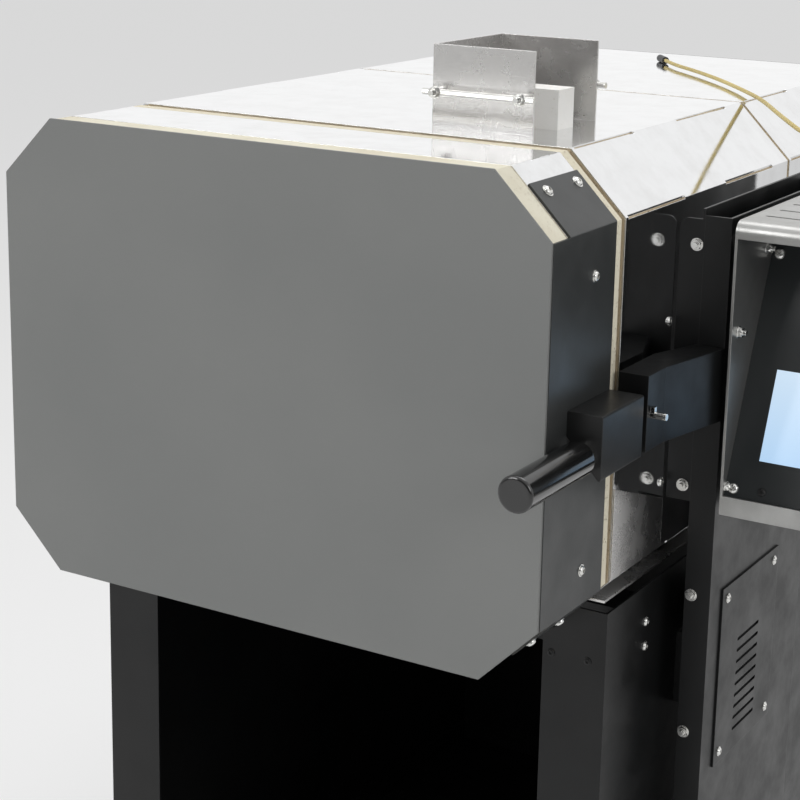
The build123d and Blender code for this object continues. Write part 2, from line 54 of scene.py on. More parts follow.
camera = bpy.data.objects.new("viewpoint", viewpoint)
camera.matrix_world = (
    Matrix.Translation((0.7921, -1.5541, 1.0282))
    @ Matrix.Rotation(turn, 4, "Z")
    @ Matrix.Rotation(math.pi / 2 - dip, 4, "X")
    @ Matrix.Rotation(roll, 4, "Z")
)
bpy.context.collection.objects.link(camera)
bpy.context.scene.camera = camera
bpy.context.scene.view_settings.view_transform = "Standard"


def add_node(tree, kind, **inputs):
    """A node whose named inputs take a plain value or the output socket that feeds them."""
    made = tree.nodes.new(kind)
    for name, value in inputs.items():
        socket = made.inputs[name.replace("_", " ")]
        if isinstance(value, bpy.types.NodeSocket):
            tree.links.new(value, socket)
        else:
            socket.default_value = value
    return made


def maths(tree, operation, first, second=0.0):
    """The result of one sum on two values or sockets."""
    made = tree.nodes.new("ShaderNodeMath")
    made.operation = operation
    for socket, value in zip(made.inputs, (first, second)):
        if isinstance(value, bpy.types.NodeSocket):
            tree.links.new(value, socket)
        else:
            socket.default_value = value
    return made.outputs[0]


# Studio: a white sweep behind the kiln and darker surroundings in front of it, with three soft
# lamps. What faces the sweep shines white, and what faces the room stays dark.
room_level = 0.42
sweep = bpy.data.worlds.new("studio")
sweep.use_nodes = True
sky = sweep.node_tree
sky.nodes.clear()
facing = add_node(sky, "ShaderNodeSeparateXYZ", Vector=sky.nodes.new("ShaderNodeTexCoord").outputs["Generated"])
behind = add_node(sky, "ShaderNodeMapRange", Value=maths(sky, "ADD", facing.outputs["Y"], facing.outputs["Z"]))
behind.inputs["From Min"].default_value = -0.55
behind.inputs["From Max"].default_value = 0.45
behind.inputs["To Min"].default_value = 0.16
behind.inputs["To Max"].default_value = 1.0
rays = sky.nodes.new("ShaderNodeLightPath")
mirrored = maths(sky, "MAXIMUM", rays.outputs["Is Glossy Ray"], rays.outputs["Is Transmission Ray"])
even = add_node(sky, "ShaderNodeBackground", Strength=room_level)
graded = add_node(sky, "ShaderNodeBackground", Strength=behind.outputs[0])
plain = add_node(sky, "ShaderNodeBackground", Strength=1.0)
for shade in (even, graded, plain):
    shade.inputs["Color"].default_value = (1.0, 1.0, 1.0, 1.0)
lit = sky.nodes.new("ShaderNodeMixShader")
seen = sky.nodes.new("ShaderNodeMixShader")
sky.links.new(mirrored, lit.inputs[0])
sky.links.new(even.outputs[0], lit.inputs[1])
sky.links.new(graded.outputs[0], lit.inputs[2])
sky.links.new(rays.outputs["Is Camera Ray"], seen.inputs[0])
sky.links.new(lit.outputs[0], seen.inputs[1])
sky.links.new(plain.outputs[0], seen.inputs[2])
sky.links.new(seen.outputs[0], add_node(sky, "ShaderNodeOutputWorld").inputs["Surface"])
bpy.context.scene.world = sweep


def softbox(name, place, target, size, watts):
    """A square lamp at a place, turned to its target."""
    lamp = bpy.data.lights.new(name, "AREA")
    lamp.size = size
    lamp.energy = watts
    holder = bpy.data.objects.new(name, lamp)
    away = Vector(place) - Vector(target)
    holder.matrix_world = Matrix.Translation(place) @ away.to_track_quat("Z", "Y").to_matrix().to_4x4()
    bpy.context.collection.objects.link(holder)


softbox("key_lamp", (-1.3, -2.6, 2.1), (0.0, -0.3, 0.6), 1.4, 34)
softbox("side_lamp", (2.6, -1.4, 1.9), (0.3, 0.0, 0.6), 1.2, 16)
softbox("top_lamp", (0.2, 0.6, 3.0), (0.0, 0.0, 0.8), 1.8, 26)

floor_size = 30.0
floor_mesh = bpy.data.meshes.new("studio_floor")
floor_form = bmesh.new()
bmesh.ops.create_grid(floor_form, x_segments=1, y_segments=1, size=floor_size)
floor_form.to_mesh(floor_mesh)
floor_form.free()
studio_floor = bpy.data.objects.new("studio_floor", floor_mesh)
bpy.context.collection.objects.link(studio_floor)
paper = bpy.data.materials.new("white_paper")
paper.use_nodes = True
sheet_tree = paper.node_tree
sheet_tree.nodes.clear()
matt_white = add_node(sheet_tree, "ShaderNodeBsdfDiffuse", Color=(0.9, 0.9, 0.9, 1.0))
glow = add_node(sheet_tree, "ShaderNodeEmission", Color=(1.0, 1.0, 1.0, 1.0), Strength=1.0)
floor_rays = sheet_tree.nodes.new("ShaderNodeLightPath")
plain_look = maths(sheet_tree, "MAXIMUM", floor_rays.outputs["Is Camera Ray"], floor_rays.outputs["Is Glossy Ray"])
floor_mix = sheet_tree.nodes.new("ShaderNodeMixShader")
sheet_tree.links.new(maths(sheet_tree, "MULTIPLY", plain_look, 0.5), floor_mix.inputs[0])
sheet_tree.links.new(matt_white.outputs[0], floor_mix.inputs[1])
sheet_tree.links.new(glow.outputs[0], floor_mix.inputs[2])
sheet_tree.links.new(floor_mix.outputs[0], add_node(sheet_tree, "ShaderNodeOutputMaterial").inputs["Surface"])
floor_mesh.materials.append(paper)


# Door panel: folded sheet steel with a grey satin powder coat. The coat flows into a faint
# orange peel, a little smoother where hands have rubbed it, and thins along the edges, where
# its lighter tone is partly that wear and partly a painted edge highlight.
def new_group(name, inputs, outputs):
    """A shader group with its sockets; returns it with its input and output nodes."""
    group = bpy.data.node_groups.new(name, "ShaderNodeTree")
    for label, kind, value in inputs:
        group.interface.new_socket(label, in_out="INPUT", socket_type=kind).default_value = value
    for label, kind in outputs:
        group.interface.new_socket(label, in_out="OUTPUT", socket_type=kind)
    return group, group.nodes.new("NodeGroupInput").outputs, group.nodes.new("NodeGroupOutput").inputs


def spread(tree, value, low, high, start=0.35, end=0.65):
    """A noise value stretched from its usual middle range to low and high."""
    made = add_node(tree, "ShaderNodeMapRange", Value=value)
    for label, number in (("From Min", start), ("From Max", end), ("To Min", low), ("To Max", high)):
        if isinstance(number, bpy.types.NodeSocket):
            tree.links.new(number, made.inputs[label])
        else:
            made.inputs[label].default_value = number
    return made.outputs[0]


def blend_tones(tree, share, first, second):
    """A colour between two, by share."""
    made = tree.nodes.new("ShaderNodeMix")
    made.data_type = "RGBA"
    for socket, value in zip((made.inputs[0], made.inputs[6], made.inputs[7]), (share, first, second)):
        if isinstance(value, bpy.types.NodeSocket):
            tree.links.new(value, socket)
        else:
            socket.default_value = value
    return made.outputs[2]


def edge_mask(tree, rounded):
    """1 along sharp edges and 0 on flats, from a rounded normal set against the plain one."""
    compare = tree.nodes.new("ShaderNodeVectorMath")
    compare.operation = "DOT_PRODUCT"
    tree.links.new(rounded, compare.inputs[0])
    tree.links.new(tree.nodes.new("ShaderNodeNewGeometry").outputs["Normal"], compare.inputs[1])
    return spread(tree, compare.outputs["Value"], 0.0, 1.0, 0.99, 0.8)


powder_skin, coat_in, coat_out = new_group(
    "powder_skin",
    [
        ("Tone", "NodeSocketColor", (0.2, 0.2, 0.2, 1.0)),
        ("Faded Tone", "NodeSocketColor", (0.22, 0.22, 0.22, 1.0)),
        ("Worn Tone", "NodeSocketColor", (0.4, 0.4, 0.4, 1.0)),
        ("Edge Wear And Highlight", "NodeSocketFloat", 0.3),
        ("Peel Scale", "NodeSocketFloat", 500.0),
        ("Peel Depth", "NodeSocketFloat", 0.00004),
        ("Smooth", "NodeSocketFloat", 0.35),
        ("Rough", "NodeSocketFloat", 0.5),
        ("Edge Radius", "NodeSocketFloat", 0.0008),
    ],
    [("Color", "NodeSocketColor"), ("Roughness", "NodeSocketFloat"), ("Normal", "NodeSocketVector")],
)
place = powder_skin.nodes.new("ShaderNodeTexCoord").outputs["Object"]
fade = add_node(powder_skin, "ShaderNodeTexNoise", Vector=place, Scale=5.0, Detail=3.0)
rub = add_node(powder_skin, "ShaderNodeTexNoise", Vector=place, Scale=26.0, Detail=5.0, Roughness=0.62)
peel = add_node(powder_skin, "ShaderNodeTexNoise", Vector=place, Scale=coat_in["Peel Scale"], Detail=2.0)
soft_edge = powder_skin.nodes.new("ShaderNodeBevel")
soft_edge.samples = 4
powder_skin.links.new(coat_in["Edge Radius"], soft_edge.inputs["Radius"])
coat_relief = add_node(
    powder_skin, "ShaderNodeBump", Distance=coat_in["Peel Depth"], Height=peel.outputs[0],
    Normal=soft_edge.outputs[0],
)
flat_tone = blend_tones(powder_skin, spread(powder_skin, fade.outputs[0], 0.0, 1.0), coat_in["Tone"], coat_in["Faded Tone"])
# Edges take the lighter tone: partly wear where the coat thins, partly a painted highlight along the edge.
chipped_and_highlit_edges = maths(powder_skin, "MULTIPLY", edge_mask(powder_skin, soft_edge.outputs[0]), spread(powder_skin, rub.outputs[0], 0.3, 1.0))
wear_and_highlight_share = maths(powder_skin, "MULTIPLY", chipped_and_highlit_edges, coat_in["Edge Wear And Highlight"])
powder_skin.links.new(blend_tones(powder_skin, wear_and_highlight_share, flat_tone, coat_in["Worn Tone"]), coat_out["Color"])
powder_skin.links.new(spread(powder_skin, rub.outputs[0], coat_in["Smooth"], coat_in["Rough"]), coat_out["Roughness"])
powder_skin.links.new(coat_relief.outputs[0], coat_out["Normal"])


def surface(name, group, values, **shader_values):
    """A material whose colour, roughness and relief come from a group with its own values."""
    made = bpy.data.materials.new(name)
    made.use_nodes = True
    tree = made.node_tree
    shader = tree.nodes["Principled BSDF"]
    skin = tree.nodes.new("ShaderNodeGroup")
    skin.node_tree = group
    for label, value in values.items():
        skin.inputs[label].default_value = value
    for label, socket in (("Color", "Base Color"), ("Roughness", "Roughness"), ("Normal", "Normal")):
        if label in skin.outputs:
            tree.links.new(skin.outputs[label], shader.inputs[socket])
    for label, value in shader_values.items():
        shader.inputs[label.replace("_", " ")].default_value = value
    return made


def finish(material, *names):
    """Gives CAD nodes their finish."""
    for name in names:
        for place in nodes[name].material_slots:
            place.material = material


grey_coat = surface(
    "grey_satin_coat", powder_skin,
    {
        "Tone": (0.185, 0.19, 0.186, 1.0), "Faded Tone": (0.2, 0.204, 0.199, 1.0),
        "Worn Tone": (0.33, 0.33, 0.32, 1.0), "Edge Wear And Highlight": 0.5, "Peel Scale": 620.0, "Peel Depth": 0.00005,
        "Smooth": 0.42, "Rough": 0.52, "Edge Radius": 0.0012,
    },
    Specular_IOR_Level=0.35,
)
finish(grey_coat, "door_panel")

# Door lining: rigid ceramic fibre board between the panel and the band, bare at its edge, and
# the firebrick that stands out of the band's back to close the chamber. Both are cream and dusty.
porous_mass, mass_in, mass_out = new_group(
    "porous_mass",
    [
        ("Tone", "NodeSocketColor", (0.8, 0.75, 0.62, 1.0)),
        ("Dark Tone", "NodeSocketColor", (0.5, 0.42, 0.3, 1.0)),
        ("Pore Scale", "NodeSocketFloat", 700.0),
        ("Pore Depth", "NodeSocketFloat", 0.0006),
        ("Stain", "NodeSocketFloat", 0.3),
    ],
    [("Color", "NodeSocketColor"), ("Normal", "NodeSocketVector")],
)
mass_place = porous_mass.nodes.new("ShaderNodeTexCoord").outputs["Object"]
pores = add_node(porous_mass, "ShaderNodeTexVoronoi", Vector=mass_place, Scale=mass_in["Pore Scale"])
crumbs = add_node(porous_mass, "ShaderNodeTexNoise", Vector=mass_place, Scale=240.0, Detail=4.0)
stains = add_node(porous_mass, "ShaderNodeTexNoise", Vector=mass_place, Scale=14.0, Detail=5.0, Roughness=0.6)
pits = spread(porous_mass, pores.outputs["Distance"], 1.0, 0.0, 0.12, 0.3)
open_pits = maths(porous_mass, "MULTIPLY", pits, spread(porous_mass, crumbs.outputs[0], 0.0, 1.0, 0.48, 0.62))
stained = maths(porous_mass, "MULTIPLY", spread(porous_mass, stains.outputs[0], 0.0, 1.0, 0.45, 0.75), mass_in["Stain"])
# The pits take the dark tone as painted shade in the pores; the stains mixed in with them are real discolouring.
stain_and_pore_shade_share = maths(porous_mass, "MAXIMUM", maths(porous_mass, "MULTIPLY", open_pits, 0.8), stained)
mass_height = maths(porous_mass, "SUBTRACT", crumbs.outputs[0], open_pits)
mass_relief = add_node(porous_mass, "ShaderNodeBump", Distance=mass_in["Pore Depth"], Height=mass_height)
porous_mass.links.new(blend_tones(porous_mass, stain_and_pore_shade_share, mass_in["Tone"], mass_in["Dark Tone"]), mass_out["Color"])
porous_mass.links.new(mass_relief.outputs[0], mass_out["Normal"])

cream_board = surface(
    "cream_fibre_board", porous_mass,
    {
        "Tone": (0.84, 0.8, 0.66, 1.0), "Dark Tone": (0.52, 0.42, 0.28, 1.0), "Pore Scale": 900.0,
        "Pore Depth": 0.0004, "Stain": 0.35,
    },
    Roughness=0.95, Specular_IOR_Level=0.2,
)
firebrick = surface(
    "porous_firebrick", porous_mass,
    {
        "Tone": (0.83, 0.77, 0.61, 1.0), "Dark Tone": (0.42, 0.33, 0.22, 1.0), "Pore Scale": 420.0,
        "Pore Depth": 0.0009, "Stain": 0.25,
    },
    Roughness=0.95, Specular_IOR_Level=0.2,
)
finish(cream_board, "door_board")
finish(firebrick, "door_brick")

# Jackets and door band: thin stainless sheet with a mirror polish, bent on its corners. The sheet
# is never quite flat, so what it mirrors swims, and fine polishing lines run along it.
mill_sheet, mill_in, mill_out = new_group(
    "mill_sheet",
    [
        ("Tone", "NodeSocketColor", (0.8, 0.8, 0.8, 1.0)),
        ("Dull Tone", "NodeSocketColor", (0.7, 0.7, 0.69, 1.0)),
        ("Grain Scale", "NodeSocketFloat", 60.0),
        ("Grain Run", "NodeSocketVector", (1.0, 40.0, 40.0)),
        ("Grain Depth", "NodeSocketFloat", 0.00001),
        ("Wave Depth", "NodeSocketFloat", 0.0004),
        ("Smooth", "NodeSocketFloat", 0.08),
        ("Rough", "NodeSocketFloat", 0.16),
        ("Edge Radius", "NodeSocketFloat", 0.0006),
    ],
    [("Color", "NodeSocketColor"), ("Roughness", "NodeSocketFloat"), ("Normal", "NodeSocketVector")],
)
mill_place = mill_sheet.nodes.new("ShaderNodeTexCoord").outputs["Object"]
along = mill_sheet.nodes.new("ShaderNodeVectorMath")
along.operation = "MULTIPLY"
mill_sheet.links.new(mill_place, along.inputs[0])
mill_sheet.links.new(mill_in["Grain Run"], along.inputs[1])
polish = add_node(mill_sheet, "ShaderNodeTexNoise", Vector=along.outputs[0], Scale=mill_in["Grain Scale"], Detail=3.0)
sway = add_node(mill_sheet, "ShaderNodeTexNoise", Vector=mill_place, Scale=6.0, Detail=1.0)
smears = add_node(mill_sheet, "ShaderNodeTexNoise", Vector=mill_place, Scale=34.0, Detail=6.0, Roughness=0.65)
mill_edge = mill_sheet.nodes.new("ShaderNodeBevel")
mill_edge.samples = 4
mill_sheet.links.new(mill_in["Edge Radius"], mill_edge.inputs["Radius"])
swayed = add_node(
    mill_sheet, "ShaderNodeBump", Distance=mill_in["Wave Depth"], Height=sway.outputs[0], Normal=mill_edge.outputs[0]
)
grained = add_node(
    mill_sheet, "ShaderNodeBump", Distance=mill_in["Grain Depth"], Height=polish.outputs[0], Normal=swayed.outputs[0]
)
mill_sheet.links.new(
    blend_tones(mill_sheet, spread(mill_sheet, smears.outputs[0], 0.0, 1.0, 0.4, 0.75), mill_in["Tone"], mill_in["Dull Tone"]),
    mill_out["Color"],
)
mill_sheet.links.new(spread(mill_sheet, smears.outputs[0], mill_in["Smooth"], mill_in["Rough"], 0.4, 0.75), mill_out["Roughness"])
mill_sheet.links.new(grained.outputs[0], mill_out["Normal"])

mirror_steel = surface(
    "polished_stainless", mill_sheet,
    {
        "Tone": (0.84, 0.845, 0.85, 1.0), "Dull Tone": (0.76, 0.76, 0.76, 1.0), "Grain Depth": 0.000008,
        "Wave Depth": 0.0003, "Smooth": 0.05, "Rough": 0.13,
    },
    Metallic=1.0,
)
finish(mirror_steel, "door_band", "jacket_front", "jacket_rear")

# Blanket and chamber: soft ceramic fibre shows as a brownish line in the seam between the jackets.
# Inside it the chamber is laid from insulating firebrick, pale and full of fine holes.
fibre_blanket = surface(
    "ceramic_blanket", porous_mass,
    {
        "Tone": (0.56, 0.46, 0.32, 1.0), "Dark Tone": (0.24, 0.17, 0.1, 1.0), "Pore Scale": 500.0,
        "Pore Depth": 0.001, "Stain": 0.6,
    },
    Roughness=1.0, Specular_IOR_Level=0.1,
)
finish(fibre_blanket, "insulation_blanket")
finish(firebrick, "brick_roof", "brick_floor", "brick_walls", "brick_rear")

# Side plates: charcoal satin sheet, bent round the door's sides and screwed down over the band.
charcoal = surface(
    "charcoal_satin_coat", powder_skin,
    {
        "Tone": (0.034, 0.036, 0.036, 1.0), "Faded Tone": (0.042, 0.044, 0.044, 1.0),
        "Worn Tone": (0.12, 0.12, 0.12, 1.0), "Edge Wear And Highlight": 0.5, "Peel Depth": 0.00003, "Smooth": 0.3, "Rough": 0.42,
        "Edge Radius": 0.0006,
    },
    Specular_IOR_Level=0.4,
)
finish(charcoal, "door_side_plate_right", "door_side_plate_left")

# Stand, tower and hinges: folded sheet steel with a semi-gloss black powder coat.
black_coat = surface(
    "black_powder_coat", powder_skin,
    {
        "Tone": (0.006, 0.0065, 0.0068, 1.0), "Faded Tone": (0.009, 0.009, 0.009, 1.0),
        "Worn Tone": (0.05, 0.05, 0.05, 1.0), "Edge Wear And Highlight": 0.6, "Peel Scale": 700.0, "Peel Depth": 0.00004,
        "Smooth": 0.3, "Rough": 0.45, "Edge Radius": 0.0006,
    },
    Specular_IOR_Level=0.3,
)
finish(
    black_coat, "door_hinge_leaves", "body_hinge_leaves", "rear_panel", "stand_side_right", "stand_side_left",
    "stand_back", "base_pan", "cross_rails", "tower_panel", "tower_straps", "heat_shield", "keeper_arm",
    "louvred_cover",
)

# Latch and handle: a black block on the side plate, a turned bright ferrule and a glossy grip.
latch_coat = surface(
    "latch_satin_black", powder_skin,
    {
        "Tone": (0.011, 0.0115, 0.0115, 1.0), "Faded Tone": (0.015, 0.015, 0.015, 1.0),
        "Worn Tone": (0.07, 0.07, 0.07, 1.0), "Edge Wear And Highlight": 0.5, "Peel Depth": 0.00003, "Smooth": 0.32, "Rough": 0.45,
        "Edge Radius": 0.001,
    },
    Specular_IOR_Level=0.35,
)
finish(latch_coat, "latch_box")
grip_gloss = surface(
    "glossy_grip", powder_skin,
    {
        "Tone": (0.006, 0.006, 0.006, 1.0), "Faded Tone": (0.008, 0.008, 0.008, 1.0),
        "Worn Tone": (0.03, 0.03, 0.03, 1.0), "Edge Wear And Highlight": 0.2, "Peel Depth": 0.00001, "Smooth": 0.1, "Rough": 0.2,
    },
    Coat_Weight=0.5, Coat_Roughness=0.08,
)
finish(grip_gloss, "handle_grip")
plated_steel = surface(
    "plated_steel", mill_sheet,
    {
        "Tone": (0.78, 0.78, 0.76, 1.0), "Dull Tone": (0.6, 0.59, 0.56, 1.0), "Grain Scale": 300.0,
        "Grain Run": (1.0, 1.0, 1.0), "Wave Depth": 0.0, "Smooth": 0.16, "Rough": 0.3, "Edge Radius": 0.0004,
    },
    Metallic=1.0,
)
finish(plated_steel, "handle_ferrule", "hinge_pins", "keeper_pin", "terminal_rods", "box_spacers")

# Terminal bracket: brushed stainless channel on the roof round a white ceramic terminal block.
brushed_steel = surface(
    "brushed_stainless", mill_sheet,
    {
        "Tone": (0.66, 0.65, 0.64, 1.0), "Dull Tone": (0.58, 0.57, 0.56, 1.0), "Grain Run": (1.0, 1.0, 60.0),
        "Grain Depth": 0.00003, "Wave Depth": 0.0001, "Smooth": 0.24, "Rough": 0.34,
    },
    Metallic=1.0,
)
finish(brushed_steel, "terminal_bracket", "side_trim")
glazed_ceramic = surface(
    "glazed_ceramic", porous_mass,
    {
        "Tone": (0.86, 0.85, 0.82, 1.0), "Dark Tone": (0.7, 0.67, 0.6, 1.0), "Pore Scale": 260.0,
        "Pore Depth": 0.0002, "Stain": 0.4,
    },
    Roughness=0.35,
)
finish(glazed_ceramic, "terminal_block")

# Heating coils: oxidised resistance wire, wound into long springs that lie in the brick's grooves.
oxide_wire = surface(
    "oxidised_wire", porous_mass,
    {
        "Tone": (0.12, 0.11, 0.1, 1.0), "Dark Tone": (0.05, 0.04, 0.035, 1.0), "Pore Scale": 900.0,
        "Pore Depth": 0.0001, "Stain": 0.7,
    },
    Roughness=0.6, Metallic=0.6,
)
finish(oxide_wire, "heating_coils")

# Control box: satin steel cheeks, cover and base, with a dark panel that leans back between them.
box_steel = surface(
    "satin_box_steel", mill_sheet,
    {
        "Tone": (0.42, 0.42, 0.41, 1.0), "Dull Tone": (0.36, 0.36, 0.35, 1.0), "Grain Run": (1.0, 1.0, 30.0),
        "Grain Depth": 0.00002, "Wave Depth": 0.0001, "Smooth": 0.3, "Rough": 0.42,
    },
    Metallic=0.85,
)
finish(box_steel, "box_cheeks", "box_cover", "box_base")
panel_coat = surface(
    "panel_satin_coat", powder_skin,
    {
        "Tone": (0.02, 0.023, 0.024, 1.0), "Faded Tone": (0.024, 0.027, 0.028, 1.0),
        "Worn Tone": (0.1, 0.1, 0.1, 1.0), "Edge Wear And Highlight": 0.4, "Peel Depth": 0.00003, "Smooth": 0.34, "Rough": 0.45,
        "Edge Radius": 0.0005,
    },
    Specular_IOR_Level=0.4,
)
finish(panel_coat, "control_panel")
module_plastic = surface(
    "module_plastic", powder_skin,
    {"Tone": (0.015, 0.015, 0.016, 1.0), "Faded Tone": (0.02, 0.02, 0.021, 1.0), "Edge Wear And Highlight": 0.1, "Peel Scale": 300.0},
)
finish(module_plastic, "screen_module", "lead_glands")

# Screen: a flat lit display, pale blue and a shade deeper towards its foot, behind smooth glass.
screen_low, screen_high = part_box("screen")
lit_glass = bpy.data.materials.new("lit_screen")
lit_glass.use_nodes = True
glass_tree = lit_glass.node_tree
glass = glass_tree.nodes["Principled BSDF"]
glass_place = add_node(glass_tree, "ShaderNodeSeparateXYZ", Vector=glass_tree.nodes.new("ShaderNodeTexCoord").outputs["Object"])
rise = spread(glass_tree, glass_place.outputs["Z"], 0.0, 1.0, screen_low.z, screen_high.z)
glass_tree.links.new(
    blend_tones(glass_tree, rise, (0.5, 0.72, 0.98, 1.0), (0.68, 0.84, 1.0, 1.0)), glass.inputs["Emission Color"]
)
glass.inputs["Emission Strength"].default_value = 0.9
glass.inputs["Base Color"].default_value = (0.02, 0.03, 0.04, 1.0)
glass.inputs["Roughness"].default_value = 0.12
finish(lit_glass, "screen")

# Sensor lead: a stiff lead in a pale yellow braided glass jacket, held by a black gland at each end.
lead_jacket = surface(
    "yellow_lead_jacket", powder_skin,
    {
        "Tone": (0.62, 0.5, 0.2, 1.0), "Faded Tone": (0.5, 0.4, 0.17, 1.0), "Worn Tone": (0.7, 0.6, 0.35, 1.0),
        "Edge Wear And Highlight": 0.2, "Peel Scale": 1400.0, "Peel Depth": 0.0002, "Smooth": 0.55, "Rough": 0.75,
    },
)
finish(lead_jacket, "sensor_lead")

# Fasteners: zinc-plated pan-head screws with a hexagon or cross recess, each on its thin washer.
# One tree makes them all. A base mesh gives each screw's place and the way it faces.
def geometry_tree(name, inputs):
    """An empty geometry tree with named inputs; returns it with its input and output nodes."""
    tree = bpy.data.node_groups.new(name, "GeometryNodeTree")
    tree.interface.new_socket("Geometry", in_out="INPUT", socket_type="NodeSocketGeometry")
    for label, kind, value in inputs:
        socket = tree.interface.new_socket(label, in_out="INPUT", socket_type=kind)
        if value is not None:
            socket.default_value = value
    tree.interface.new_socket("Geometry", in_out="OUTPUT", socket_type="NodeSocketGeometry")
    return tree, tree.nodes.new("NodeGroupInput").outputs, tree.nodes.new("NodeGroupOutput").inputs


def boolean(tree, operation, first, *others):
    """Two or more solids joined, or the others cut from the first."""
    made = tree.nodes.new("GeometryNodeMeshBoolean")
    made.operation = operation
    made.solver = "EXACT"
    if operation == "DIFFERENCE":
        tree.links.new(first, made.inputs["Mesh 1"])
    else:
        tree.links.new(first, made.inputs["Mesh 2"])
    for other in others:
        tree.links.new(other, made.inputs["Mesh 2"])
    return made.outputs["Mesh"]


def moved(tree, solid, height, scale=(1.0, 1.0, 1.0), spin=0.0):
    """A solid scaled, turned about its axis and raised; height is a value or a socket."""
    offset = add_node(tree, "ShaderNodeCombineXYZ", Z=height)
    return add_node(
        tree, "GeometryNodeTransform", Geometry=solid, Translation=offset.outputs[0], Scale=scale,
        Rotation=(0.0, 0.0, spin),
    ).outputs[0]


def finish_on_points(tree, given, taken, solid):
    """Sets the solid on every point of the base mesh, facing its way, and makes it real."""
    way = tree.nodes.new("GeometryNodeInputNamedAttribute")
    way.data_type = "FLOAT_VECTOR"
    way.inputs["Name"].default_value = "facing"
    aligned = add_node(tree, "FunctionNodeAlignRotationToVector", Vector=way.outputs["Attribute"])
    aligned.axis = "Z"
    chance = tree.nodes.new("FunctionNodeRandomValue")
    chance.data_type = "FLOAT"
    chance.inputs[3].default_value = math.tau
    tree.links.new(given["Seed"], chance.inputs["Seed"])
    angle = add_node(tree, "FunctionNodeAxisAngleToRotation", Axis=(0.0, 0.0, 1.0), Angle=chance.outputs[1])
    spun = add_node(tree, "FunctionNodeRotateRotation", Rotation=aligned.outputs[0], Rotate_By=angle.outputs[0])
    spun.rotation_space = "LOCAL"
    points = add_node(tree, "GeometryNodeMeshToPoints", Mesh=given["Geometry"])
    mm = 0.001
    placed = add_node(
        tree, "GeometryNodeInstanceOnPoints", Points=points.outputs[0], Instance=solid,
        Rotation=spun.outputs[0], Scale=(mm, mm, mm),
    )
    real = add_node(tree, "GeometryNodeRealizeInstances", Geometry=placed.outputs[0])
    coated = add_node(tree, "GeometryNodeSetMaterial", Geometry=real.outputs[0], Material=given["Material"])
    tree.links.new(coated.outputs[0], taken["Geometry"])


screw_tree, screw_in, screw_out = geometry_tree(
    "pan_head_screw",
    [
        ("Head Radius", "NodeSocketFloat", 4.0),
        ("Rim Height", "NodeSocketFloat", 1.2),
        ("Dome Height", "NodeSocketFloat", 1.6),
        ("Recess Radius", "NodeSocketFloat", 1.7),
        ("Washer Radius", "NodeSocketFloat", 5.0),
        ("Cross Recess", "NodeSocketBool", False),
        ("Seed", "NodeSocketInt", 1),
        ("Material", "NodeSocketMaterial", None),
    ],
)
washer_t = 0.6
washer = add_node(screw_tree, "GeometryNodeMeshCylinder", Vertices=24, Radius=screw_in["Washer Radius"], Depth=2 * washer_t)
rim = add_node(screw_tree, "GeometryNodeMeshCylinder", Vertices=24, Radius=screw_in["Head Radius"], Depth=maths(screw_tree, "MULTIPLY", screw_in["Rim Height"], 2.0))
ball = add_node(screw_tree, "GeometryNodeMeshUVSphere", Segments=24, Rings=12, Radius=1.0)
dome_radius = maths(screw_tree, "MULTIPLY", screw_in["Head Radius"], 0.985)
dome_size = add_node(screw_tree, "ShaderNodeCombineXYZ", X=dome_radius, Y=dome_radius, Z=screw_in["Dome Height"])
dome_place = add_node(screw_tree, "ShaderNodeCombineXYZ", Z=screw_in["Rim Height"])
dome = add_node(
    screw_tree, "GeometryNodeTransform", Geometry=ball.outputs[0], Translation=dome_place.outputs[0],
    Scale=dome_size.outputs[0],
)
head = boolean(screw_tree, "UNION", washer.outputs["Mesh"], rim.outputs["Mesh"], dome.outputs[0])
recess_depth = 6.0
recess_floor = maths(screw_tree, "ADD", screw_in["Rim Height"], recess_depth / 2)
hexagon = add_node(screw_tree, "GeometryNodeMeshCylinder", Vertices=6, Radius=screw_in["Recess Radius"], Depth=recess_depth)
blade_size = add_node(screw_tree, "ShaderNodeCombineXYZ", X=maths(screw_tree, "MULTIPLY", screw_in["Recess Radius"], 2.4), Y=0.8, Z=recess_depth)
blade = add_node(screw_tree, "GeometryNodeMeshCube", Size=blade_size.outputs[0])
cross = boolean(screw_tree, "UNION", blade.outputs["Mesh"], moved(screw_tree, blade.outputs["Mesh"], 0.0, spin=math.pi / 2))
recess = screw_tree.nodes.new("GeometryNodeSwitch")
recess.input_type = "GEOMETRY"
screw_tree.links.new(screw_in["Cross Recess"], recess.inputs["Switch"])
screw_tree.links.new(hexagon.outputs["Mesh"], recess.inputs["False"])
screw_tree.links.new(cross, recess.inputs["True"])
driven = boolean(screw_tree, "DIFFERENCE", head, moved(screw_tree, recess.outputs[0], recess_floor))
finish_on_points(screw_tree, screw_in, screw_out, driven)

